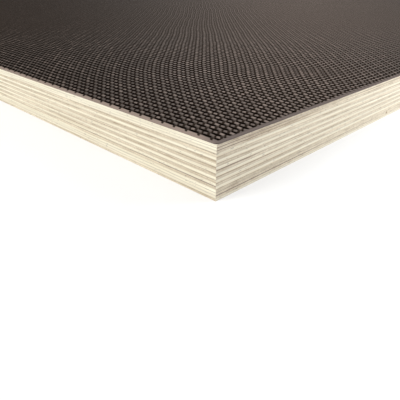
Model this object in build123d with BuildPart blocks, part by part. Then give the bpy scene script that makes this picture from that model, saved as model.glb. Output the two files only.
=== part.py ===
"""Anti-slip plywood sheet: cross-laminated birch veneers under a phenolic film with a wire-mesh imprint.

Frame: millimetres, +Z up, the origin at the centre of the underside.
+X runs along the length of the sheet and the grain of its face veneers, and +Y across it.
"""

import os

from build123d import *

# Sheet
SHEET_LENGTH = 2500.0
SHEET_WIDTH = 1250.0

# Lay-up, counted from the top: parallel lengthwise veneers, a core in which crosswise and lengthwise
# veneers take turns, as many parallel lengthwise veneers again, and one crosswise veneer at the back
VENEER_COUNT = 18
PARALLEL_VENEER_COUNT = 3

# Veneers after pressing, thinner at the face and the back, which are sanded
FACE_VENEER_THICKNESS = 1.18
CORE_VENEER_THICKNESS = 1.355
BACK_VENEER_THICKNESS = 0.99

# Film on top, thick enough for the imprint
MESH_FILM_THICKNESS = 0.50


def grain_of(number):
    """Direction of the grain in a veneer, numbered from 1 at the top."""
    if number == VENEER_COUNT:
        return "crosswise"
    depth_in_core = min(number, VENEER_COUNT - number) - PARALLEL_VENEER_COUNT
    return "crosswise" if depth_in_core > 0 and depth_in_core % 2 else "lengthwise"


def thickness_of(number):
    """Thickness of a veneer, numbered from 1 at the top."""
    if number == VENEER_COUNT:
        return BACK_VENEER_THICKNESS
    return FACE_VENEER_THICKNESS if number <= PARALLEL_VENEER_COUNT else CORE_VENEER_THICKNESS


def write_piece(piece, name):
    """Labels a finished piece and writes it as its own STEP file."""
    piece.label = name
    export_step(piece, f"parts/{name}.step")


os.makedirs("parts", exist_ok=True)

# Veneers, from the back up, each on the one before it
stack_top = 0.0
for veneer_number in range(VENEER_COUNT, 0, -1):
    veneer_thickness = thickness_of(veneer_number)
    with BuildPart() as veneer:
        with BuildSketch(Plane.XY.offset(stack_top)):
            Rectangle(SHEET_LENGTH, SHEET_WIDTH)
        extrude(amount=veneer_thickness)
    write_piece(veneer.part, f"veneer_{veneer_number:02d}_{grain_of(veneer_number)}")
    stack_top += veneer_thickness

# Film on top, whose fine wire-mesh imprint is a surface finish
with BuildPart() as mesh_film:
    with BuildSketch(Plane.XY.offset(stack_top)):
        Rectangle(SHEET_LENGTH, SHEET_WIDTH)
    extrude(amount=MESH_FILM_THICKNESS)
write_piece(mesh_film.part, "mesh_film")
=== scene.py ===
"""Anti-slip plywood sheet: the looks of its birch veneers and of the film with the wire-mesh imprint.

Metres, in the frame of the CAD part: +X along the sheet, +Y across it, +Z up, the floor at zero.
The corner that the camera looks at is the one at +X and -Y.
"""
import math
from types import SimpleNamespace

import bpy
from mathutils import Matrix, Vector


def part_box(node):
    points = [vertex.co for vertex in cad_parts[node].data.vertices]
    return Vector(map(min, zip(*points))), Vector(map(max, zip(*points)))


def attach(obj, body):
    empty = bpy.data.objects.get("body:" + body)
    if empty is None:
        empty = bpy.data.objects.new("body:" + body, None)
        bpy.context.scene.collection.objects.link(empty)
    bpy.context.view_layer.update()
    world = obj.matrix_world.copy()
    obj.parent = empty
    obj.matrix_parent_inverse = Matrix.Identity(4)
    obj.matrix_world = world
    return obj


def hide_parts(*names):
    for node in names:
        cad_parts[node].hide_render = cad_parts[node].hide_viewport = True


MM = 0.001

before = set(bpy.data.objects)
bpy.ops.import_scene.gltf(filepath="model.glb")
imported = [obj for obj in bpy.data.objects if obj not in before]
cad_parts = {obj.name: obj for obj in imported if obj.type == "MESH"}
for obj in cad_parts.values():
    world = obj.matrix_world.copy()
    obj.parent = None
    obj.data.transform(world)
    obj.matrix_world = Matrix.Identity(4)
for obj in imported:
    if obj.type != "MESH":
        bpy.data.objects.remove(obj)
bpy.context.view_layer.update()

# Sheet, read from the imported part
film_low, film_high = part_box("mesh_film")
HALF_LENGTH = film_high.x
HALF_WIDTH = film_high.y
FILM_TOP = film_high.z
FILM_BOTTOM = film_low.z

# Veneers under the film: the face ones, the core ones and the one at the back
first_low, first_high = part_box("veneer_01_lengthwise")
core_low, core_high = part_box("veneer_04_crosswise")
back_low, back_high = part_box("veneer_18_crosswise")
VENEER_TOP = first_high.z
FACE_VENEER = first_high.z - first_low.z
CORE_VENEER = core_high.z - core_low.z
BACK_VENEER = back_high.z - back_low.z
FACE_STACK = VENEER_TOP - core_high.z
CORE_STACK = core_high.z - back_high.z

# Wire mesh that was pressed into the film. Warp wires run along X and weft wires across them.
# Both lie closer together towards the edges and fan out from the corner, and the weft is bowed
# along the long edge. The pitch grows by a share per metre.
EDGE_WIRE_PITCH = 3.40 * MM
PITCH_GROWTH = 2.25
PITCH_GROWTH_REACH = 97.0 * MM
WIRE_PITCH = EDGE_WIRE_PITCH * (1.0 + PITCH_GROWTH * PITCH_GROWTH_REACH)
FANNED_SHARE = 0.70
FAN_REACH = 300.0 * MM
WEFT_BOW_SLOPE = 0.418
WEFT_BOW_REACH = 111.0 * MM
FIRST_WARP_FROM_EDGE = 3.75 * MM
FIRST_WEFT_FROM_EDGE = 0.07 * MM

# Small waves of the wires, and longer ones away from the corner
WAVE_SIZE = 0.5 * MM
WAVES_PER_METRE = 22.0
FAR_WAVE_SIZE = 2.6 * MM
FAR_WAVES_PER_METRE = 6.0
FAR_WAVES_FROM = 190.0 * MM
FAR_WAVES_FULL = 420.0 * MM

# Imprint of the wires, in shares of the pitch. The warp's crowns leave long dashes, black with painted
# shade. Past each of its own crowns the weft leaves a wide groove on one side and a narrow one on the other.
WARP_SHIFT_SHARE = 0.16
WARP_HALF_WIDTH_SHARE = 0.30
WARP_HALF_LENGTH_SHARE = 0.97
WARP_TAPER_SHARE = 0.2
WARP_BLUNTNESS = 3.0
WEFT_BLUNTNESS = 4.0
WEFT_SLANT_SHARE = 0.45
WEFT_STEP_SHARE = 0.045
WIDE_WEFT_HALF_WIDTH_SHARE = 0.25
WIDE_WEFT_MIDDLE_SHARE = 0.52
WIDE_WEFT_HALF_LENGTH_SHARE = 0.47
NARROW_WEFT_HALF_WIDTH_SHARE = 0.19
NARROW_WEFT_MIDDLE_SHARE = 0.35
NARROW_WEFT_HALF_LENGTH_SHARE = 0.42

# Light strokes on the weft's own crowns
CROWN_SHIFT_SHARE = 0.05
CROWN_HALF_WIDTH_SHARE = 0.13
CROWN_HALF_LENGTH_SHARE = 0.42
CROWN_BLUNTNESS = 3.0

# Spikes of the weft past the outermost warp wires: solid up to one share of the pitch, gone at the other
SPIKE_SOLID_SHARE = 0.54
SPIKE_SHARE = 0.9

# Relief of the film
PAD_MIDDLE_SHARE = 0.46
IMPRINT_DEPTH = 0.32 * MM
WEFT_DEPTH_SHARE = 0.6
PAD_DOME = 0.08 * MM
FIELD_FADE_SHARE = 0.25
SHORT_EDGE_MARGIN = 1.9 * MM
SHORT_EDGE_MARGIN_FADE = 0.5 * MM

# Corner of the film that is embossed in its mesh, and the band where the relief gives way to bump
EMBOSSED_CORNER_SIZE = 190.0 * MM
EMBOSSED_FADE = 35.0 * MM
LINES_PER_PITCH = 6
SPARE_WIRES = 2
CLOSING_TURNS = 5
NEAR_WIRE_STEP_SHARE = 0.66
BETWEEN_WIRES_STEP_SHARE = 1.68
CHIPPED_TIP = 1.1 * MM
CUT_THRESHOLD = 0.0001 * MM
SMOOTH_ANGLE = math.radians(60.0)

# Camera, fitted to the four long lines of the sheet's edges
CAMERA_TO_CORNER = 139.63 * MM
CAMERA_OVER_VENEERS = 54.01 * MM
CORNER_RIGHT_OF_AXIS = 6.11 * MM
CAMERA_TURN = math.radians(45.0)
CAMERA_PITCH = math.radians(28.83)
CAMERA_LENS = 36.63
CAMERA_SENSOR = 36.0
CAMERA_NEAREST = 5.0 * MM
CAMERA_FARTHEST = 100.0

# Middle of a noise texture, how far its slow waves stray from it, and the span that most of it lies in
NOISE_MIDDLE = 0.5
NOISE_REACH = 0.25
NOISE_SPAN = (0.3, 0.7)


# Node helpers

def feed(tree, given, socket):
    """Gives a socket a number, a colour or another node's output."""
    if isinstance(given, bpy.types.NodeSocket):
        tree.links.new(given, socket)
    else:
        socket.default_value = given


def maths(tree, operation, first, second=0.0, third=0.0):
    """Adds one maths node, in a material or in geometry nodes."""
    node = tree.nodes.new("ShaderNodeMath")
    node.operation = operation
    for socket, given in zip(node.inputs, (first, second, third)):
        feed(tree, given, socket)
    return node.outputs["Value"]


def product(tree, first, *others):
    """Several values multiplied."""
    for other in others:
        first = maths(tree, "MULTIPLY", first, other)
    return first


def remainder(tree, share):
    """What a share leaves of 1."""
    return maths(tree, "SUBTRACT", 1.0, share)


def clamped(tree, value):
    """Keeps a value between 0 and 1."""
    return maths(tree, "MINIMUM", maths(tree, "MAXIMUM", value, 0.0), 1.0)


def fading(tree, distance, run):
    """1 at no distance, and about a third of that after each run."""
    return maths(tree, "EXPONENT", product(tree, distance, -1.0 / run))


def split_place(tree, place):
    """The x, y and z of a place."""
    node = tree.nodes.new("ShaderNodeSeparateXYZ")
    tree.links.new(place, node.inputs[0])
    return node.outputs["X"], node.outputs["Y"], node.outputs["Z"]


def joined_place(tree, x, y, z):
    """A place from its x, y and z."""
    node = tree.nodes.new("ShaderNodeCombineXYZ")
    for socket, given in zip(node.inputs, (x, y, z)):
        feed(tree, given, socket)
    return node.outputs["Vector"]


def noise(tree, place, scale, detail=2.0, roughness=0.5):
    """A noise texture node at a place."""
    node = tree.nodes.new("ShaderNodeTexNoise")
    tree.links.new(place, node.inputs["Vector"])
    node.inputs["Scale"].default_value = scale
    node.inputs["Detail"].default_value = detail
    node.inputs["Roughness"].default_value = roughness
    return node


def remapped(tree, value, low, high, new_low=0.0, new_high=1.0):
    """Maps a range to another, held at both ends."""
    node = tree.nodes.new("ShaderNodeMapRange")
    node.clamp = True
    for name, given in (
        ("Value", value),
        ("From Min", low),
        ("From Max", high),
        ("To Min", new_low),
        ("To Max", new_high),
    ):
        feed(tree, given, node.inputs[name])
    return node.outputs["Result"]


def mixed_colour(tree, share, first, second, blend="MIX"):
    """Mixes two colours."""
    node = tree.nodes.new("ShaderNodeMix")
    node.data_type = "RGBA"
    node.blend_type = blend
    for name, given in (("Factor_Float", share), ("A_Color", first), ("B_Color", second)):
        socket = next(s for s in node.inputs if s.identifier == name)
        feed(tree, given, socket)
    return next(s for s in node.outputs if s.identifier == "Result_Color")


# Distances from the photographed corner

def from_edges(tree, x, y):
    """The distances from the short edge and from the long edge that meet at the corner."""
    return maths(tree, "SUBTRACT", HALF_LENGTH, x), maths(tree, "ADD", y, HALF_WIDTH)


def along_edges(tree, x, y):
    """The same two distances added up."""
    return maths(tree, "SUBTRACT", maths(tree, "ADD", y, HALF_WIDTH + HALF_LENGTH), x)


# Wire counts: how many pitches of the mesh lie between an edge and a place

def wires_within(distance):
    """The wire count at a distance from an edge, as a plain number."""
    grown = math.log(1.0 + PITCH_GROWTH * min(distance, PITCH_GROWTH_REACH))
    far = max(distance - PITCH_GROWTH_REACH, 0.0)
    return grown / (PITCH_GROWTH * EDGE_WIRE_PITCH) + far / WIRE_PITCH


WIRES_IN_GROWTH = wires_within(PITCH_GROWTH_REACH)
WARP_START = wires_within(FIRST_WARP_FROM_EDGE)
WEFT_START = wires_within(FIRST_WEFT_FROM_EDGE)
LAST_WARP = math.floor(wires_within(2.0 * HALF_WIDTH - FIRST_WARP_FROM_EDGE) - WARP_START)


def count_at(tree, distance):
    """The same count in nodes."""
    near = maths(tree, "MINIMUM", distance, PITCH_GROWTH_REACH)
    grown = maths(tree, "LOGARITHM", maths(tree, "MULTIPLY_ADD", near, PITCH_GROWTH, 1.0), math.e)
    far = maths(tree, "MAXIMUM", maths(tree, "SUBTRACT", distance, PITCH_GROWTH_REACH), 0.0)
    past = maths(tree, "DIVIDE", far, WIRE_PITCH)
    return maths(tree, "MULTIPLY_ADD", grown, 1.0 / (PITCH_GROWTH * EDGE_WIRE_PITCH), past)


def distance_at(tree, count):
    """The distance from the edge at which a count is reached."""
    near = maths(tree, "MINIMUM", count, WIRES_IN_GROWTH)
    growth = maths(tree, "EXPONENT", product(tree, near, PITCH_GROWTH * EDGE_WIRE_PITCH))
    grown = maths(tree, "SUBTRACT", growth, 1.0)
    far = maths(tree, "MAXIMUM", maths(tree, "SUBTRACT", count, WIRES_IN_GROWTH), 0.0)
    past = product(tree, far, WIRE_PITCH)
    return maths(tree, "MULTIPLY_ADD", grown, 1.0 / PITCH_GROWTH, past)


def weft_bow(tree, from_long_edge):
    """How far the weft has drifted along the sheet at a distance from the long edge."""
    reach = maths(tree, "MINIMUM", from_long_edge, WEFT_BOW_REACH)
    easing = maths(tree, "MULTIPLY_ADD", reach, -0.5 / WEFT_BOW_REACH, 1.0)
    return product(tree, reach, easing, WEFT_BOW_SLOPE)


def fan_share(tree, distance):
    """How much closer to the edge a wire lies at the corner than at a distance along it."""
    return maths(tree, "MULTIPLY_ADD", fading(tree, distance, FAN_REACH), 1.0 - FANNED_SHARE, FANNED_SHARE)


def strayed(tree, place, waves_per_metre):
    """How far slow noise strays from its middle, as two values."""
    colour = noise(tree, place, waves_per_metre, detail=1.0).outputs["Color"]
    first, second, unused = split_place(tree, colour)
    return [maths(tree, "SUBTRACT", value, NOISE_MIDDLE) for value in (first, second)]


def mesh_waves(tree, x, y):
    """How far the wires stray sideways, along X and along Y."""
    place = joined_place(tree, x, y, 0.0)
    from_corner = maths(tree, "MAXIMUM", *from_edges(tree, x, y))
    far_size = remapped(tree, from_corner, FAR_WAVES_FROM, FAR_WAVES_FULL, 0.0, FAR_WAVE_SIZE / NOISE_REACH)
    near_waves = strayed(tree, place, WAVES_PER_METRE)
    far_waves = strayed(tree, place, FAR_WAVES_PER_METRE)
    waves = []
    for near, far in zip(near_waves, far_waves):
        near = product(tree, near, WAVE_SIZE / NOISE_REACH)
        waves.append(maths(tree, "MULTIPLY_ADD", far, far_size, near))
    return waves


def wire_counts(tree, x, y):
    """Which warp wire and which weft wire a place lies on, as running counts from the corner."""
    from_short_edge, from_long_edge = from_edges(tree, x, y)
    gathered = product(tree, from_long_edge, fan_share(tree, from_short_edge))
    warp = maths(tree, "SUBTRACT", count_at(tree, gathered), WARP_START)
    straight = maths(tree, "SUBTRACT", from_short_edge, weft_bow(tree, from_long_edge))
    gathered = product(tree, straight, fan_share(tree, from_long_edge))
    weft = maths(tree, "SUBTRACT", count_at(tree, gathered), WEFT_START)
    return warp, weft


def place_of_counts(tree, warp, weft):
    """Where a warp count and a weft count meet, found by closing in on it."""
    warp_distance = distance_at(tree, maths(tree, "ADD", warp, WARP_START))
    weft_distance = distance_at(tree, maths(tree, "ADD", weft, WEFT_START))
    from_short_edge = weft_distance
    for turn in range(CLOSING_TURNS):
        from_long_edge = maths(tree, "DIVIDE", warp_distance, fan_share(tree, from_short_edge))
        straight = maths(tree, "DIVIDE", weft_distance, fan_share(tree, from_long_edge))
        from_short_edge = maths(tree, "ADD", straight, weft_bow(tree, from_long_edge))
    x = maths(tree, "SUBTRACT", HALF_LENGTH, from_short_edge)
    y = maths(tree, "SUBTRACT", from_long_edge, HALF_WIDTH)
    return x, y


# Wire-mesh imprint, shared by the relief and by the film's material

def groove(tree, across, along, half_width, half_length, bluntness):
    """A groove with a round floor: 1 where it is deepest, 0 beside it. Bluntness shapes its ends."""
    side = maths(tree, "DIVIDE", across, half_width)
    end = maths(tree, "ABSOLUTE", maths(tree, "DIVIDE", along, half_length))
    across_share = maths(tree, "MAXIMUM", remainder(tree, product(tree, side, side)), 0.0)
    along_share = maths(tree, "MAXIMUM", remainder(tree, maths(tree, "POWER", end, bluntness)), 0.0)
    return product(tree, across_share, along_share)


def on_mesh(tree, warp_wire):
    """1 on the warp wires that lie on the sheet, 0 past the first and the last."""
    after_first = maths(tree, "GREATER_THAN", warp_wire, -0.5)
    before_last = maths(tree, "LESS_THAN", warp_wire, LAST_WARP + 0.5)
    return product(tree, after_first, before_last)


def off_margin(tree, x):
    """0 on the plain margin along the short edges, 1 inside it."""
    inside = maths(tree, "SUBTRACT", HALF_LENGTH - SHORT_EDGE_MARGIN, maths(tree, "ABSOLUTE", x))
    return clamped(tree, maths(tree, "DIVIDE", inside, SHORT_EDGE_MARGIN_FADE))


def warp_print(tree, warp, weft, x):
    """Dashes under the warp's crowns, at every other weft wire."""
    wire = maths(tree, "ROUND", warp)
    beyond = maths(tree, "SUBTRACT", maths(tree, "SUBTRACT", weft, wire), WARP_SHIFT_SHARE)
    along = maths(tree, "WRAP", beyond, 1.0, -1.0)
    narrowing = maths(tree, "MULTIPLY_ADD", along, WARP_TAPER_SHARE, 1.0)
    across = product(tree, maths(tree, "SUBTRACT", warp, wire), narrowing)
    dash = groove(tree, across, along, WARP_HALF_WIDTH_SHARE, WARP_HALF_LENGTH_SHARE, WARP_BLUNTNESS)
    return product(tree, dash, on_mesh(tree, wire), off_margin(tree, x))


def weft_print(tree, warp, weft, x):
    """Slanting grooves of the weft between the warp wires, wide before its crowns and narrow past them."""
    gap = maths(tree, "FLOOR", warp)
    in_gap = maths(tree, "FRACT", warp)
    slant = maths(tree, "MULTIPLY_ADD", in_gap, WEFT_SLANT_SHARE, -0.5 * WEFT_SLANT_SHARE)
    level = maths(tree, "SUBTRACT", weft, slant)
    wire = maths(tree, "ROUND", level)
    past_crown = maths(tree, "PINGPONG", maths(tree, "SUBTRACT", gap, wire), 1.0)
    step = maths(tree, "MULTIPLY_ADD", past_crown, -2.0 * WEFT_STEP_SHARE, WEFT_STEP_SHARE)
    across = maths(tree, "SUBTRACT", maths(tree, "SUBTRACT", level, wire), step)
    middle, half_width, half_length = (
        remapped(tree, past_crown, 0.0, 1.0, wide, narrow)
        for wide, narrow in (
            (WIDE_WEFT_MIDDLE_SHARE, NARROW_WEFT_MIDDLE_SHARE),
            (WIDE_WEFT_HALF_WIDTH_SHARE, NARROW_WEFT_HALF_WIDTH_SHARE),
            (WIDE_WEFT_HALF_LENGTH_SHARE, NARROW_WEFT_HALF_LENGTH_SHARE),
        )
    )
    along = maths(tree, "SUBTRACT", in_gap, middle)
    rung = groove(tree, across, along, half_width, half_length, WEFT_BLUNTNESS)
    crown_wire = maths(tree, "SUBTRACT", maths(tree, "ADD", gap, 1.0), past_crown)
    inside = maths(tree, "MINIMUM", warp, maths(tree, "SUBTRACT", LAST_WARP, warp))
    spike = remapped(tree, inside, -SPIKE_SHARE, -SPIKE_SOLID_SHARE)
    return product(tree, rung, on_mesh(tree, crown_wire), off_margin(tree, x), spike)


def weft_crown(tree, warp, weft):
    """The light, slanting strokes where the weft's own crowns hold the film clear of the warp."""
    wire = maths(tree, "ROUND", warp)
    aside = maths(tree, "SUBTRACT", warp, wire)
    slant = maths(tree, "MULTIPLY_ADD", aside, WEFT_SLANT_SHARE, 1.0 - CROWN_SHIFT_SHARE)
    beyond = maths(tree, "SUBTRACT", maths(tree, "SUBTRACT", weft, wire), slant)
    ahead = maths(tree, "WRAP", beyond, 1.0, -1.0)
    return groove(tree, ahead, aside, CROWN_HALF_WIDTH_SHARE, CROWN_HALF_LENGTH_SHARE, CROWN_BLUNTNESS)


def pad_share(tree, warp, weft):
    """1 on the middle of a pad between four wires, 0 on the wires."""
    aside = maths(tree, "MULTIPLY_ADD", maths(tree, "FRACT", warp), 2.0, -1.0)
    from_middle = maths(tree, "SUBTRACT", maths(tree, "FRACT", weft), PAD_MIDDLE_SHARE)
    ahead = maths(tree, "DIVIDE", from_middle, PAD_MIDDLE_SHARE)
    across = remainder(tree, product(tree, aside, aside))
    along = remainder(tree, product(tree, ahead, ahead))
    return product(tree, across, along)


def on_field(tree, warp, x):
    """1 on the field inside the margins, 0 on the margins."""
    steepness = 1.0 / FIELD_FADE_SHARE
    after_first = clamped(tree, maths(tree, "MULTIPLY_ADD", warp, steepness, 1.0))
    before_last = clamped(tree, maths(tree, "MULTIPLY_ADD", warp, -steepness, steepness * LAST_WARP + 1.0))
    return product(tree, after_first, before_last, off_margin(tree, x))


def imprint_depth(tree, warp_groove, weft_groove, pad, field):
    """How deep the film lies below the tops of its pads."""
    grooves = maths(tree, "MAXIMUM", warp_groove, product(tree, weft_groove, WEFT_DEPTH_SHARE))
    hollow = product(tree, remainder(tree, pad), field)
    return maths(tree, "MULTIPLY_ADD", grooves, IMPRINT_DEPTH, product(tree, hollow, PAD_DOME))


def embossed_share(tree, x, y):
    """1 where the relief is in the mesh, falling to 0 at the inner sides of the embossed corner."""
    beyond_x = maths(tree, "ADD", x, EMBOSSED_CORNER_SIZE - HALF_LENGTH)
    beyond_y = maths(tree, "SUBTRACT", EMBOSSED_CORNER_SIZE - HALF_WIDTH, y)
    nearest = maths(tree, "MINIMUM", beyond_x, beyond_y)
    return clamped(tree, maths(tree, "DIVIDE", nearest, EMBOSSED_FADE))


# Materials

def new_material(name):
    """An empty material with its shader, and the place on the sheet that its nodes read."""
    material = bpy.data.materials.new(name)
    material.use_nodes = True
    tree = material.node_tree
    shader = tree.nodes["Principled BSDF"]
    place = tree.nodes.new("ShaderNodeTexCoord").outputs["Object"]
    return material, tree, shader, place


def bump(tree, shader, height):
    """Feeds a height in metres to the shader's normal."""
    node = tree.nodes.new("ShaderNodeBump")
    node.inputs["Strength"].default_value = 1.0
    node.inputs["Distance"].default_value = 1.0
    tree.links.new(height, node.inputs["Height"])
    tree.links.new(node.outputs["Normal"], shader.inputs["Normal"])


# Mesh film: its pads, some of them lighter than the rest, painted shade between the pads, the prints
# darkened by dirt and painted shade, and the crowns near the corner
PAD_BROWN = (0.068, 0.0515, 0.0435, 1.0)
PAD_BROWN_LIGHT = (0.178, 0.136, 0.116, 1.0)
BETWEEN_PADS_SHADE = (0.032, 0.0240, 0.0190, 1.0)
WARP_PRINT_DIRT_AND_SHADE = (0.0045, 0.0030, 0.0021, 1.0)
WEFT_PRINT_DIRT_AND_SHADE = (0.028, 0.0205, 0.0160, 1.0)
WEFT_CROWN_BROWN = (0.058, 0.045, 0.038, 1.0)
PLAIN_PADS_SHARE = 0.55
PAD_COLOUR_SPAN = (0.12, 0.80)
WARP_COLOUR_GAIN = 2.0
WEFT_COLOUR_GAIN = 1.7
CROWNS_FULL = 60.0 * MM
CROWNS_GONE = 220.0 * MM

# Its plain margins, which differ between the long and the short edges and blend at the corners' mitres
LONG_MARGIN_BROWN = (0.290, 0.228, 0.194, 1.0)
SHORT_MARGIN_BROWN = (0.150, 0.122, 0.112, 1.0)
MARGIN_FADE = 0.6 * MM
MITRE_FADE = 9.0 * MM

# Its gloss and grit
PAD_GLOSS_SHARE = 0.46
PAD_GLOSS_TINT = (1.0, 0.86, 0.79, 1.0)
FILM_ROUGHNESS = (0.36, 0.46)
FILM_GRIT = 0.03 * MM
GRITS_PER_METRE = 2600.0

# Its far part, where colour and gloss are more even, darkened as painted shade of the relief seen at a
# grazing angle
FAR_FILM_SHADE_BROWN = (0.028, 0.0190, 0.0138, 1.0)
FAR_FILM_FROM = 230.0 * MM
FAR_FILM_FULL = 560.0 * MM
FAR_FILM_SHARE = 0.58
FAR_GLOSS = 0.006


def printed_film_colour(tree, warp, weft, pad, warp_share, weft_share):
    """Pads in their browns, with painted shade between them and the prints of the weft and the warp darkened
    by dirt and painted shade.
    """
    pad_number = tree.nodes.new("ShaderNodeTexWhiteNoise")
    pad_number.noise_dimensions = "2D"
    pad_place = joined_place(tree, maths(tree, "FLOOR", warp), maths(tree, "FLOOR", weft), 0.0)
    tree.links.new(pad_place, pad_number.inputs["Vector"])
    light_share = remapped(tree, pad_number.outputs["Value"], PLAIN_PADS_SHARE, 1.0)
    pad_colour = mixed_colour(tree, light_share, PAD_BROWN, PAD_BROWN_LIGHT)
    # Painted shade: the hollows between the pads take a darker brown
    on_pad = remapped(tree, pad, *PAD_COLOUR_SPAN)
    colour = mixed_colour(tree, on_pad, BETWEEN_PADS_SHADE, pad_colour)
    # Dirt and painted shade: the prints of the weft and the warp take near-black browns
    colour = mixed_colour(tree, weft_share, colour, WEFT_PRINT_DIRT_AND_SHADE)
    return mixed_colour(tree, warp_share, colour, WARP_PRINT_DIRT_AND_SHADE)


def film_margin(tree, x, y):
    """The share of plain margin at a place, and the margin's colour there."""
    to_short_edge = maths(tree, "SUBTRACT", HALF_LENGTH, maths(tree, "ABSOLUTE", x))
    to_long_edge = maths(tree, "SUBTRACT", HALF_WIDTH, maths(tree, "ABSOLUTE", y))
    from_print_x = maths(tree, "SUBTRACT", to_short_edge, SHORT_EDGE_MARGIN)
    from_print_y = maths(tree, "SUBTRACT", to_long_edge, FIRST_WARP_FROM_EDGE)
    short_margin = remapped(tree, from_print_x, -MARGIN_FADE, MARGIN_FADE, 1.0, 0.0)
    long_margin = remapped(tree, from_print_y, -2.0 * MARGIN_FADE, -MARGIN_FADE, 1.0, 0.0)
    past_mitre = maths(tree, "SUBTRACT", to_short_edge, to_long_edge)
    long_share = remapped(tree, past_mitre, -MARGIN_FADE, MITRE_FADE)
    colour = mixed_colour(tree, long_share, SHORT_MARGIN_BROWN, LONG_MARGIN_BROWN)
    return maths(tree, "MAXIMUM", long_margin, short_margin), colour


def mesh_film_finish():
    """Dark phenolic film with the wire-mesh imprint, and a plain lighter margin along the edges."""
    material, tree, shader, place = new_material("mesh_film_brown")
    x, y, z = split_place(tree, place)
    wave_x, wave_y = mesh_waves(tree, x, y)
    warp, weft = wire_counts(tree, maths(tree, "ADD", x, wave_x), maths(tree, "ADD", y, wave_y))
    warp_groove = warp_print(tree, warp, weft, x)
    weft_groove = weft_print(tree, warp, weft, x)
    pad = pad_share(tree, warp, weft)
    field = on_field(tree, warp, x)
    warp_share = clamped(tree, product(tree, warp_groove, WARP_COLOUR_GAIN))
    weft_share = clamped(tree, product(tree, weft_groove, WEFT_COLOUR_GAIN))
    unprinted = remainder(tree, maths(tree, "MAXIMUM", weft_share, warp_share))

    from_corner = along_edges(tree, x, y)
    near_share = remapped(tree, from_corner, CROWNS_FULL, CROWNS_GONE, 1.0, 0.0)
    crown = product(tree, weft_crown(tree, warp, weft), field, near_share)
    far_share = remapped(tree, from_corner, FAR_FILM_FROM, FAR_FILM_FULL, 0.0, FAR_FILM_SHARE)
    margin, margin_colour = film_margin(tree, x, y)
    colour = printed_film_colour(tree, warp, weft, pad, warp_share, weft_share)
    colour = mixed_colour(tree, crown, colour, WEFT_CROWN_BROWN)
    # Painted shade: the far film turns a darker, even brown
    colour = mixed_colour(tree, far_share, colour, FAR_FILM_SHADE_BROWN)
    colour = mixed_colour(tree, product(tree, margin, unprinted), colour, margin_colour)
    tree.links.new(colour, shader.inputs["Base Color"])

    pad_gloss = product(tree, pad, field, unprinted, PAD_GLOSS_SHARE)
    gloss_beyond = maths(tree, "SUBTRACT", FAR_GLOSS, pad_gloss)
    gloss = maths(tree, "MULTIPLY_ADD", gloss_beyond, far_share, pad_gloss)
    tree.links.new(gloss, shader.inputs["Specular IOR Level"])
    shader.inputs["Specular Tint"].default_value = PAD_GLOSS_TINT
    grit = noise(tree, place, GRITS_PER_METRE).outputs["Fac"]
    tree.links.new(remapped(tree, grit, *NOISE_SPAN, *FILM_ROUGHNESS), shader.inputs["Roughness"])

    depth = imprint_depth(tree, warp_groove, weft_groove, pad, field)
    bump_depth = product(tree, depth, remainder(tree, embossed_share(tree, x, y)))
    bump(tree, shader, maths(tree, "SUBTRACT", product(tree, grit, FILM_GRIT), bump_depth))
    return material


# Birch: pale fibres seen from the side, darker ones seen from their ends
LONG_GRAIN = (0.945, 0.900, 0.752, 1.0)
LONG_GRAIN_DARK = (0.875, 0.805, 0.635, 1.0)
END_GRAIN = (0.905, 0.815, 0.648, 1.0)
END_GRAIN_DARK = (0.725, 0.622, 0.465, 1.0)
FIBRES_PER_METRE = 1500.0
FIBRE_STRETCH_SHARE = 0.02
DARK_FIBRES_SPAN = (0.38, 0.78)
TONES_PER_METRE = 240.0
TONE_STRENGTH = 0.2
FIGURES_PER_METRE = 16.0
FIGURE_STRETCH_SHARE = 0.12
DARK_FIGURE_SPAN = (0.38, 0.68)
FIGURE_STRENGTH = 0.8
BIRCH_GLOSS = 0.2
BIRCH_ROUGHNESS = (0.62, 0.82)
GRAIN_RELIEF = 0.06 * MM
SAW_RELIEF = 0.03 * MM

# Marks of the saw: long streaks, fewer of them at the back of the short edges, which is painted light there,
# short flecks and dark nicks.
# The sides of the fibres show only a share of the streaks and flecks.
SAWN_SHADE = (0.630, 0.580, 0.535, 1.0)
STREAKS_PER_METRE = 1500.0
STREAK_STRETCH_SHARE = 0.012
DARK_STREAKS_SPAN = (0.43, 0.61)
LONG_GRAIN_STREAKS_SHARE = 0.4
LIGHTER_BACK_HEIGHT = 9.0 * MM
FLECKS_PER_METRE = 1500.0
FLECK_STRETCH_SHARE = 0.07
DARK_FLECKS_SPAN = (0.50, 0.70)
FLECK_STRENGTH = 0.75
LONG_GRAIN_FLECKS_SHARE = 0.12
NICKS_PER_METRE = 2300.0
NICK_STRETCH_SHARE = 0.15
DARK_NICKS_SPAN = (0.63, 0.75)
NICK_STRENGTH = 0.8

# Painted shade: grey on the edges near the photographed corner
CORNER_SHADE_GREY = (0.60, 0.59, 0.59, 1.0)
CORNER_SHADE_RUN = 45.0 * MM
END_GRAIN_SHADE = 0.22
SHORT_EDGE_SHADE = 0.24

# Glue: a stained zone over each joint, weaker between parallel veneers, and a thin line at the joint itself,
# faint where it doesn't lie under a pale veneer. Widths are shares of a veneer.
GLUE_BROWN = (0.170, 0.120, 0.105, 1.0)
GLUE_STAINED = (0.640, 0.555, 0.430, 1.0)
GLUE_PEACH = (0.800, 0.640, 0.450, 1.0)
GLUE_ZONE_SHARE = 0.45
GLUE_ZONE_FULL_SHARE = 0.05
GLUE_ZONE_STRENGTH = 0.75
PARALLEL_ZONE_STRENGTH = 0.15
GLUE_CORE_SHARE = 0.02
GLUE_LINE_SHARE = 0.13
DARK_LINE_GAIN_SHARE = 0.10
FAINT_LINE_SHARE = 0.15
STAINS_PER_METRE = 45.0
DARK_STAINS_SPAN = (0.42, 0.75)
STAIN_STRENGTH = 0.40

# Joints inside the parallel veneers, two at the face and two near the back: the middle of each pair
PARALLEL_JOINT_PAIRS = (1.5, 15.5)
PAIR_REACH = 0.6

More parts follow.
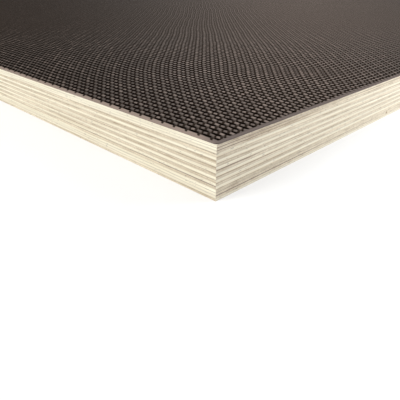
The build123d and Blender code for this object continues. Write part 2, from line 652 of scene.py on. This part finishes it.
# Joints with a dark glue line near the photographed corner: number from the top, 1 on the short edge
# and 0 on the long edge, and how far the dark part runs
DARK_JOINTS = (
    (1.0, 1.0, 50.0 * MM),
    (2.0, 1.0, 28.0 * MM),
    (16.0, 1.0, 80.0 * MM),
    (8.0, 1.0, 14.0 * MM),
    (13.0, 0.0, 40.0 * MM),
    (14.0, 0.0, 25.0 * MM),
)
SAME_WITHIN = 0.1

# All joints darken a little towards that corner, those of the short edge more
SHORT_EDGE_STAIN = 0.50
LONG_EDGE_STAIN = 0.30
CORNER_STAIN_RUN = 90.0 * MM

# Pin knot in the short edge
KNOT_BROWN = (0.300, 0.175, 0.085, 1.0)
KNOT_FROM_CORNER = 157.0 * MM
KNOT_BELOW_FILM = 21.2 * MM
KNOT_RADIUS = 1.2 * MM
KNOT_CORE_SHARE = 0.3


def veneer_count(tree, z):
    """How many veneers lie above a height, as a running count from the film."""
    depth = maths(tree, "SUBTRACT", VENEER_TOP, z)
    face = maths(tree, "DIVIDE", maths(tree, "MINIMUM", depth, FACE_STACK), FACE_VENEER)
    in_core = maths(tree, "MAXIMUM", maths(tree, "SUBTRACT", depth, FACE_STACK), 0.0)
    core = maths(tree, "DIVIDE", maths(tree, "MINIMUM", in_core, CORE_STACK), CORE_VENEER)
    in_back = maths(tree, "MAXIMUM", maths(tree, "SUBTRACT", depth, FACE_STACK + CORE_STACK), 0.0)
    back = maths(tree, "DIVIDE", in_back, BACK_VENEER)
    return maths(tree, "ADD", maths(tree, "ADD", face, core), back)


def veneer_spot(tree, place, along_x):
    """How a place lies on the sheet, on its sawn edges and in the grain of its veneer."""
    x, y, z = split_place(tree, place)
    normal = tree.nodes.new("ShaderNodeNewGeometry").outputs["Normal"]
    normal_x, normal_y, normal_z = split_place(tree, normal)
    on_short_edge = clamped(tree, maths(tree, "ABSOLUTE", normal_x))
    on_long_edge = clamped(tree, maths(tree, "ABSOLUTE", normal_y))
    along_long_edge = product(tree, x, on_long_edge)
    return SimpleNamespace(
        x=x,
        y=y,
        z=z,
        along_grain=x if along_x else y,
        across_grain=y if along_x else x,
        end_grain=on_short_edge if along_x else on_long_edge,
        on_short_edge=on_short_edge,
        sawn=remainder(tree, maths(tree, "ABSOLUTE", normal_z)),
        along_edge=maths(tree, "MULTIPLY_ADD", y, on_short_edge, along_long_edge),
        from_corner=along_edges(tree, x, y),
    )


def edge_noise(tree, spot, stretch_share, scale, detail=2.0, roughness=0.5):
    """Noise that is drawn out along the sawn edges."""
    stretched = product(tree, spot.along_edge, stretch_share)
    place = joined_place(tree, stretched, spot.z, spot.on_short_edge)
    return noise(tree, place, scale, detail, roughness).outputs["Fac"]


def fibre_noise(tree, spot):
    """Noise that is drawn out along the grain, fine and coarse."""
    stretched = product(tree, spot.along_grain, FIBRE_STRETCH_SHARE)
    place = joined_place(tree, stretched, spot.across_grain, spot.z)
    fine = noise(tree, place, FIBRES_PER_METRE, detail=3.0, roughness=0.6).outputs["Fac"]
    coarse = noise(tree, place, TONES_PER_METRE).outputs["Fac"]
    return fine, coarse


def grain_colour(tree, spot, fibre, tone):
    """Streaks along the grain, specks on its ends, and a soft figure on the sanded faces."""
    dark_share = remapped(tree, fibre, *DARK_FIBRES_SPAN)
    streaks = mixed_colour(tree, dark_share, LONG_GRAIN, LONG_GRAIN_DARK)
    specks = mixed_colour(tree, dark_share, END_GRAIN, END_GRAIN_DARK)
    wood = mixed_colour(tree, spot.end_grain, streaks, specks)
    tone_share = remapped(tree, tone, *NOISE_SPAN, 0.0, TONE_STRENGTH)
    wood = mixed_colour(tree, tone_share, wood, SAWN_SHADE, "MULTIPLY")
    stretched = product(tree, spot.along_grain, FIGURE_STRETCH_SHARE)
    place = joined_place(tree, stretched, spot.across_grain, 0.0)
    figure = noise(tree, place, FIGURES_PER_METRE, detail=5.0, roughness=0.6).outputs["Fac"]
    figure_share = remapped(tree, figure, *DARK_FIGURE_SPAN, 0.0, FIGURE_STRENGTH)
    on_face = product(tree, figure_share, remainder(tree, spot.sawn))
    return mixed_colour(tree, on_face, wood, LONG_GRAIN_DARK)


def mark_strength(tree, spot, long_grain_share):
    """How clearly the saw's marks show: fully on the ends of the grain, and a share of it elsewhere."""
    strength = maths(tree, "MULTIPLY_ADD", spot.end_grain, 1.0 - long_grain_share, long_grain_share)
    return product(tree, strength, spot.sawn)


def saw_marks(tree, spot, streak, wood):
    """Shades the wood with the saw's streaks and flecks."""
    # Painted light: fewer streaks at the back of the short edges leave that part lighter
    near_back = product(tree, remapped(tree, spot.z, 0.0, LIGHTER_BACK_HEIGHT, 1.0, 0.0), spot.on_short_edge)
    strength = product(tree, mark_strength(tree, spot, LONG_GRAIN_STREAKS_SHARE), remainder(tree, near_back))
    streak_share = product(tree, remapped(tree, streak, *DARK_STREAKS_SPAN), strength)
    wood = mixed_colour(tree, streak_share, wood, SAWN_SHADE, "MULTIPLY")
    fleck = edge_noise(tree, spot, FLECK_STRETCH_SHARE, FLECKS_PER_METRE, roughness=0.6)
    fleck_share = remapped(tree, fleck, *DARK_FLECKS_SPAN, 0.0, FLECK_STRENGTH)
    fleck_share = product(tree, fleck_share, mark_strength(tree, spot, LONG_GRAIN_FLECKS_SHARE))
    return mixed_colour(tree, fleck_share, wood, SAWN_SHADE, "MULTIPLY")


def corner_shade(tree, spot, wood):
    """Greys the wood towards the photographed corner, as painted shade."""
    on_ends = product(tree, spot.end_grain, END_GRAIN_SHADE)
    strength = maths(tree, "MULTIPLY_ADD", spot.on_short_edge, SHORT_EDGE_SHADE, on_ends)
    shade_share = product(tree, fading(tree, spot.from_corner, CORNER_SHADE_RUN), strength, spot.sawn)
    return mixed_colour(tree, shade_share, wood, CORNER_SHADE_GREY, "MULTIPLY")


def joint_darkness(tree, spot, joint):
    """How much darker than elsewhere a glue line is near the photographed corner."""
    strength = maths(
        tree, "MULTIPLY_ADD", spot.on_short_edge, SHORT_EDGE_STAIN - LONG_EDGE_STAIN, LONG_EDGE_STAIN
    )
    total = product(tree, fading(tree, spot.from_corner, CORNER_STAIN_RUN), strength)
    for number, on_short_edge, run in DARK_JOINTS:
        same_joint = maths(tree, "COMPARE", joint, number, SAME_WITHIN)
        same_edge = maths(tree, "COMPARE", spot.on_short_edge, on_short_edge, SAME_WITHIN)
        stain = product(tree, same_joint, same_edge, fading(tree, spot.from_corner, run))
        total = maths(tree, "ADD", total, stain)
    return total


def glue_joints(tree, spot, wood):
    """Stains the wood over the joints and draws the glue lines."""
    count = veneer_count(tree, spot.z)
    joint = maths(tree, "ROUND", count)
    to_joint = maths(tree, "PINGPONG", count, 0.5)
    down_veneer = maths(tree, "FRACT", count)
    face_pair, back_pair = (
        maths(tree, "COMPARE", joint, middle, PAIR_REACH) for middle in PARALLEL_JOINT_PAIRS
    )
    parallel = maths(tree, "ADD", face_pair, back_pair)

    zone_strength = maths(
        tree, "MULTIPLY_ADD", parallel, PARALLEL_ZONE_STRENGTH - GLUE_ZONE_STRENGTH, GLUE_ZONE_STRENGTH
    )
    zone = remapped(tree, down_veneer, 1.0 - GLUE_ZONE_SHARE, 1.0 - GLUE_ZONE_FULL_SHARE)
    peach_share = product(tree, spot.on_short_edge, remainder(tree, spot.end_grain))
    zone_colour = mixed_colour(tree, peach_share, GLUE_STAINED, GLUE_PEACH)
    wood = mixed_colour(tree, product(tree, zone, zone_strength, spot.sawn), wood, zone_colour)

    darkness = joint_darkness(tree, spot, joint)
    stain_place = joined_place(tree, spot.x, spot.y, joint)
    stain = noise(tree, stain_place, STAINS_PER_METRE, detail=3.0).outputs["Fac"]
    stain_share = remapped(tree, stain, *DARK_STAINS_SPAN, 0.0, STAIN_STRENGTH)
    line_strength = clamped(tree, maths(tree, "ADD", stain_share, darkness))
    lower_half = maths(tree, "GREATER_THAN", down_veneer, 0.5)
    under_pale = maths(tree, "ABSOLUTE", maths(tree, "SUBTRACT", spot.end_grain, lower_half))
    clear = maths(tree, "MAXIMUM", under_pale, parallel)
    clearness = maths(tree, "MULTIPLY_ADD", clear, 1.0 - FAINT_LINE_SHARE, FAINT_LINE_SHARE)
    line_reach = maths(tree, "MULTIPLY_ADD", clamped(tree, darkness), DARK_LINE_GAIN_SHARE, GLUE_LINE_SHARE)
    line = remapped(tree, to_joint, GLUE_CORE_SHARE, line_reach, 1.0, 0.0)
    return mixed_colour(tree, product(tree, line, line_strength, clearness, spot.sawn), wood, GLUE_BROWN)


def knot_share(tree, spot):
    """1 in the middle of the pin knot, 0 outside it."""
    knot_x = maths(tree, "SUBTRACT", spot.x, HALF_LENGTH)
    knot_y = maths(tree, "SUBTRACT", spot.y, KNOT_FROM_CORNER - HALF_WIDTH)
    knot_z = maths(tree, "SUBTRACT", spot.z, VENEER_TOP - KNOT_BELOW_FILM)
    span = tree.nodes.new("ShaderNodeVectorMath")
    span.operation = "LENGTH"
    tree.links.new(joined_place(tree, knot_x, knot_y, knot_z), span.inputs[0])
    return remapped(tree, span.outputs["Value"], KNOT_CORE_SHARE * KNOT_RADIUS, KNOT_RADIUS, 1.0, 0.0)


def birch_finish(name, along_x):
    """Birch veneer, cut by the saw at the edges and sanded on its faces."""
    material, tree, shader, place = new_material(name)
    spot = veneer_spot(tree, place, along_x)
    fibre, tone = fibre_noise(tree, spot)
    streak = edge_noise(tree, spot, STREAK_STRETCH_SHARE, STREAKS_PER_METRE, detail=3.0, roughness=0.65)
    nick = edge_noise(tree, spot, NICK_STRETCH_SHARE, NICKS_PER_METRE)
    nick_share = product(tree, remapped(tree, nick, *DARK_NICKS_SPAN, 0.0, NICK_STRENGTH), spot.sawn)

    wood = grain_colour(tree, spot, fibre, tone)
    wood = saw_marks(tree, spot, streak, wood)
    # Painted shade, greying the edges towards the photographed corner
    wood = corner_shade(tree, spot, wood)
    wood = glue_joints(tree, spot, wood)
    wood = mixed_colour(tree, nick_share, wood, GLUE_BROWN)
    wood = mixed_colour(tree, knot_share(tree, spot), wood, KNOT_BROWN)
    tree.links.new(wood, shader.inputs["Base Color"])

    shader.inputs["Specular IOR Level"].default_value = BIRCH_GLOSS
    tree.links.new(remapped(tree, fibre, *NOISE_SPAN, *BIRCH_ROUGHNESS), shader.inputs["Roughness"])
    bump(tree, shader, maths(tree, "MULTIPLY_ADD", streak, SAW_RELIEF, product(tree, fibre, GRAIN_RELIEF)))
    return material


# Floor, with the share of plain white that the camera sees in it. The rest is lit and holds the shadow.
FLOOR_SIZE = 60.0
FLOOR_WHITE = (0.955, 0.955, 0.955, 1.0)
FLOOR_WHITE_LIGHT = (0.965, 0.965, 0.965, 1.0)
FLOOR_CLOUDS_PER_METRE = 3.0
FLOOR_ROUGHNESS = 0.9
FLOOR_GLOSS = 0.1
BACKDROP_SHARE = 0.4


def floor_finish():
    """Plain white studio floor."""
    material, tree, shader, place = new_material("studio_floor_white")
    cloud = noise(tree, place, FLOOR_CLOUDS_PER_METRE).outputs["Fac"]
    colour = mixed_colour(tree, cloud, FLOOR_WHITE, FLOOR_WHITE_LIGHT)
    tree.links.new(colour, shader.inputs["Base Color"])
    shader.inputs["Roughness"].default_value = FLOOR_ROUGHNESS
    shader.inputs["Specular IOR Level"].default_value = FLOOR_GLOSS
    ray = tree.nodes.new("ShaderNodeLightPath").outputs
    seen = maths(tree, "MAXIMUM", ray["Is Camera Ray"], ray["Is Glossy Ray"])
    seen = maths(tree, "MAXIMUM", seen, ray["Is Transmission Ray"])
    backdrop = tree.nodes.new("ShaderNodeEmission")
    mixed = tree.nodes.new("ShaderNodeMixShader")
    tree.links.new(product(tree, seen, BACKDROP_SHARE), mixed.inputs[0])
    tree.links.new(shader.outputs[0], mixed.inputs[1])
    tree.links.new(backdrop.outputs[0], mixed.inputs[2])
    output = next(node for node in tree.nodes if node.type == "OUTPUT_MATERIAL")
    tree.links.new(mixed.outputs[0], output.inputs["Surface"])
    material.cycles.emission_sampling = "NONE"
    return material


# Pieces of the mesh film

def deselect_all():
    """Leaves no object selected."""
    if bpy.context.object is not None and bpy.context.object.mode != "OBJECT":
        bpy.ops.object.mode_set(mode="OBJECT")
    bpy.ops.object.select_all(action="DESELECT")


def gathered_line(tree, line):
    """Gathers the grid's lines towards the wires, so that more of them shape the prints."""
    wire = maths(tree, "ROUND", line)
    aside = maths(tree, "SUBTRACT", line, wire)
    distance = maths(tree, "ABSOLUTE", aside)
    near = product(tree, distance, NEAR_WIRE_STEP_SHARE)
    spread = product(tree, distance, BETWEEN_WIRES_STEP_SHARE)
    far = maths(tree, "SUBTRACT", spread, 0.5 * (BETWEEN_WIRES_STEP_SHARE - 1.0))
    gathered = maths(tree, "MAXIMUM", near, far)
    return maths(tree, "MULTIPLY_ADD", maths(tree, "SIGN", aside), gathered, wire)


def relief_nodes():
    """Geometry nodes that turn a grid counted in wires into the embossed film."""
    tree = bpy.data.node_groups.new("film_relief", "GeometryNodeTree")
    tree.interface.new_socket("Geometry", in_out="INPUT", socket_type="NodeSocketGeometry")
    tree.interface.new_socket("Geometry", in_out="OUTPUT", socket_type="NodeSocketGeometry")
    start = tree.nodes.new("NodeGroupInput")
    end = tree.nodes.new("NodeGroupOutput")
    grid_place = tree.nodes.new("GeometryNodeInputPosition").outputs[0]
    weft_line, warp_line, unused = split_place(tree, grid_place)
    warp = gathered_line(tree, warp_line)
    weft = gathered_line(tree, weft_line)

    even_x, even_y = place_of_counts(tree, warp, weft)
    rough_x, rough_y = mesh_waves(tree, even_x, even_y)
    wave_x, wave_y = mesh_waves(
        tree,
        maths(tree, "SUBTRACT", even_x, rough_x),
        maths(tree, "SUBTRACT", even_y, rough_y),
    )
    x = maths(tree, "SUBTRACT", even_x, wave_x)
    y = maths(tree, "SUBTRACT", even_y, wave_y)
    warp_groove = warp_print(tree, warp, weft, x)
    weft_groove = weft_print(tree, warp, weft, x)
    pad = pad_share(tree, warp, weft)
    field = on_field(tree, warp, x)
    full_depth = imprint_depth(tree, warp_groove, weft_groove, pad, field)
    depth = product(tree, full_depth, embossed_share(tree, x, y))
    moved = joined_place(tree, x, y, maths(tree, "SUBTRACT", FILM_TOP, depth))

    place_node = tree.nodes.new("GeometryNodeSetPosition")
    tree.links.new(start.outputs[0], place_node.inputs["Geometry"])
    tree.links.new(moved, place_node.inputs["Position"])
    tree.links.new(place_node.outputs[0], end.inputs[0])
    return tree


def wire_grid(name):
    """A flat grid over the corner and a little past it, counted in wires from its first warp and weft."""
    last_wire = math.ceil(wires_within(EMBOSSED_CORNER_SIZE)) + 1
    first_warp = -SPARE_WIRES
    first_weft = math.floor(wires_within(-0.5 * WEFT_BOW_SLOPE * WEFT_BOW_REACH)) - SPARE_WIRES
    warps = last_wire - first_warp
    wefts = last_wire - first_weft
    deselect_all()
    bpy.ops.mesh.primitive_grid_add(
        x_subdivisions=wefts * LINES_PER_PITCH,
        y_subdivisions=warps * LINES_PER_PITCH,
        size=1.0,
    )
    grid = bpy.context.object
    grid.name = name
    grid.data.name = name
    bpy.ops.object.mode_set(mode="EDIT")
    bpy.ops.mesh.select_all(action="SELECT")
    bpy.ops.transform.resize(value=(wefts, warps, 1.0))
    bpy.ops.transform.translate(value=(first_weft + wefts / 2.0, first_warp + warps / 2.0, 0.0))
    bpy.ops.object.mode_set(mode="OBJECT")
    return grid


def cut_away(place, direction):
    """Cuts the mesh that is being edited at a plane, and drops the side that the direction points to."""
    bpy.ops.mesh.select_all(action="SELECT")
    bpy.ops.mesh.bisect(plane_co=place, plane_no=direction, clear_outer=True, threshold=CUT_THRESHOLD)


INNER_X = HALF_LENGTH - EMBOSSED_CORNER_SIZE
INNER_Y = EMBOSSED_CORNER_SIZE - HALF_WIDTH
FILM_DOWN = (0.0, 0.0, FILM_BOTTOM - FILM_TOP)


def embossed_corner(finish):
    """The film at the photographed corner, with the wire-mesh imprint in its shape."""
    corner = wire_grid("embossed_film_corner")
    relief = corner.modifiers.new("relief", "NODES")
    relief.node_group = relief_nodes()
    bpy.ops.object.modifier_apply(modifier=relief.name)

    bpy.ops.object.mode_set(mode="EDIT")
    cut_away((HALF_LENGTH, 0.0, 0.0), (1.0, 0.0, 0.0))
    cut_away((0.0, -HALF_WIDTH, 0.0), (0.0, -1.0, 0.0))
    cut_away((INNER_X, 0.0, 0.0), (-1.0, 0.0, 0.0))
    cut_away((0.0, INNER_Y, 0.0), (0.0, 1.0, 0.0))
    cut_away((HALF_LENGTH - CHIPPED_TIP, -HALF_WIDTH, 0.0), (1.0, -1.0, 0.0))
    bpy.ops.mesh.select_mode(type="EDGE")
    bpy.ops.mesh.select_all(action="DESELECT")
    bpy.ops.mesh.select_non_manifold(
        use_wire=False,
        use_multi_face=False,
        use_non_contiguous=False,
        use_verts=False,
    )
    bpy.ops.mesh.extrude_edges_move(TRANSFORM_OT_translate={"value": FILM_DOWN})
    bpy.ops.mesh.edge_face_add()
    bpy.ops.mesh.select_all(action="SELECT")
    bpy.ops.mesh.normals_make_consistent(inside=False)
    bpy.ops.object.mode_set(mode="OBJECT")
    bpy.ops.object.shade_smooth_by_angle(angle=SMOOTH_ANGLE)
    corner.data.materials.append(finish)
    return corner


def plain_field(finish):
    """The rest of the film, an L round the embossed corner."""
    deselect_all()
    bpy.ops.mesh.primitive_plane_add(size=2.0, location=(0.0, 0.0, FILM_TOP))
    field = bpy.context.object
    field.name = "mesh_film_field"
    field.data.name = field.name
    bpy.ops.transform.resize(value=(HALF_LENGTH, HALF_WIDTH, 1.0))
    bpy.ops.object.transform_apply(location=True, rotation=True, scale=True)
    bpy.ops.object.mode_set(mode="EDIT")
    bpy.ops.mesh.select_all(action="SELECT")
    bpy.ops.mesh.bisect(plane_co=(INNER_X, 0.0, 0.0), plane_no=(1.0, 0.0, 0.0))
    bpy.ops.mesh.select_all(action="SELECT")
    bpy.ops.mesh.bisect(plane_co=(0.0, INNER_Y, 0.0), plane_no=(0.0, 1.0, 0.0))
    bpy.ops.mesh.select_all(action="DESELECT")
    bpy.ops.object.mode_set(mode="OBJECT")
    for face in field.data.polygons:
        face.select = face.center.x > INNER_X and face.center.y < INNER_Y
    bpy.ops.object.mode_set(mode="EDIT")
    bpy.ops.mesh.select_mode(type="FACE")
    bpy.ops.mesh.delete(type="FACE")
    bpy.ops.mesh.select_all(action="SELECT")
    bpy.ops.mesh.extrude_region_move(TRANSFORM_OT_translate={"value": FILM_DOWN})
    bpy.ops.mesh.select_all(action="SELECT")
    bpy.ops.mesh.normals_make_consistent(inside=False)
    bpy.ops.object.mode_set(mode="OBJECT")
    field.data.materials.append(finish)
    return field


film_finish = mesh_film_finish()
for film_piece in (embossed_corner(film_finish), plain_field(film_finish)):
    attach(film_piece, "root")
    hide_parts("mesh_film")

# Finishes of the veneers, which keep their CAD shape
birch_lengthwise = birch_finish("birch_lengthwise", along_x=True)
birch_crosswise = birch_finish("birch_crosswise", along_x=False)
for name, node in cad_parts.items():
    if name.startswith("veneer"):
        node.data.materials.clear()
        node.data.materials.append(birch_lengthwise if name.endswith("lengthwise") else birch_crosswise)

# Floor
deselect_all()
bpy.ops.mesh.primitive_plane_add(size=FLOOR_SIZE, location=(0.0, 0.0, 0.0))
floor = bpy.context.object
floor.name = "studio_floor"
floor.data.materials.append(floor_finish())

# Light: a dome that is brightest overhead, with a warm glow behind the sheet to the right
HORIZON_LEVEL = 0.03
ZENITH_LEVEL = 1.36
ZENITH_SPREAD = 2.5
DOME_WHITE = (1.0, 0.99, 0.975, 1.0)
GLOW_WARM = (1.0, 0.79, 0.68, 1.0)
GLOW_LEVEL = 1.28
GLOW_SPREAD = 18.0
GLOW_TURN = math.radians(13.0)
GLOW_HEIGHT = math.radians(21.0)

# Lamps, placed from the photographed corner, in watts and metres
PHOTO_CORNER = Vector((HALF_LENGTH, -HALF_WIDTH, VENEER_TOP))
KEY_PLACE = PHOTO_CORNER + Vector((-1.5, -3.0, 2.1))
KEY_SIZE = 2.0
KEY_POWER = 107.0
KEY_WHITE = (0.985, 0.988, 0.960)
FILL_PLACE = PHOTO_CORNER + Vector((0.28, 0.52, 0.22))
FILL_TARGET = PHOTO_CORNER + Vector((0.0, 0.25, 0.0))
FILL_SIZE = 0.4
FILL_POWER = 2.78
FILL_WHITE = (0.895, 0.942, 1.0)


def studio_world():
    """The dome and its glow."""
    world = bpy.data.worlds.new("studio")
    world.use_nodes = True
    tree = world.node_tree
    background = tree.nodes["Background"]
    direction = tree.nodes.new("ShaderNodeTexCoord").outputs["Generated"]
    unused_x, unused_y, height = split_place(tree, direction)
    dome = maths(tree, "POWER", maths(tree, "MAXIMUM", height, 0.0), ZENITH_SPREAD)
    level = maths(tree, "MULTIPLY_ADD", dome, ZENITH_LEVEL - HORIZON_LEVEL, HORIZON_LEVEL)
    glow_angle = CAMERA_TURN - GLOW_TURN
    glow_dot = tree.nodes.new("ShaderNodeVectorMath")
    glow_dot.operation = "DOT_PRODUCT"
    tree.links.new(direction, glow_dot.inputs[0])
    glow_dot.inputs[1].default_value = (
        -math.sin(glow_angle) * math.cos(GLOW_HEIGHT),
        math.cos(glow_angle) * math.cos(GLOW_HEIGHT),
        math.sin(GLOW_HEIGHT),
    )
    lobe = maths(tree, "POWER", maths(tree, "MAXIMUM", glow_dot.outputs["Value"], 0.0), GLOW_SPREAD)
    tree.links.new(maths(tree, "MULTIPLY_ADD", lobe, GLOW_LEVEL, level), background.inputs["Strength"])
    tree.links.new(mixed_colour(tree, lobe, DOME_WHITE, GLOW_WARM), background.inputs["Color"])
    bpy.context.scene.world = world


def softbox(name, place, target, size, power, colour):
    """A square area lamp that faces a point."""
    deselect_all()
    bpy.ops.object.light_add(type="AREA", location=place)
    lamp = bpy.context.object
    lamp.name = name
    lamp.rotation_euler = (target - place).to_track_quat("-Z", "Y").to_euler()
    lamp.data.size = size
    lamp.data.energy = power
    lamp.data.color = colour


studio_world()
softbox("key_left", KEY_PLACE, PHOTO_CORNER, KEY_SIZE, KEY_POWER, KEY_WHITE)
softbox("fill_right", FILL_PLACE, FILL_TARGET, FILL_SIZE, FILL_POWER, FILL_WHITE)

# Camera
right = Vector((math.cos(CAMERA_TURN), math.sin(CAMERA_TURN), 0.0))
ahead = Vector((-math.sin(CAMERA_TURN), math.cos(CAMERA_TURN), 0.0))
up = Vector((0.0, 0.0, 1.0))
sight = ahead * math.cos(CAMERA_PITCH) - up * math.sin(CAMERA_PITCH)
camera_place = PHOTO_CORNER - ahead * CAMERA_TO_CORNER - right * CORNER_RIGHT_OF_AXIS
camera_place += up * CAMERA_OVER_VENEERS
deselect_all()
bpy.ops.object.camera_add(location=camera_place)
camera = bpy.context.object
camera.name = "photo_camera"
camera.rotation_euler = sight.to_track_quat("-Z", "Y").to_euler()
camera.data.lens = CAMERA_LENS
camera.data.sensor_width = CAMERA_SENSOR
camera.data.clip_start = CAMERA_NEAREST
camera.data.clip_end = CAMERA_FARTHEST
bpy.context.scene.camera = camera
bpy.context.scene.view_settings.view_transform = "Standard"
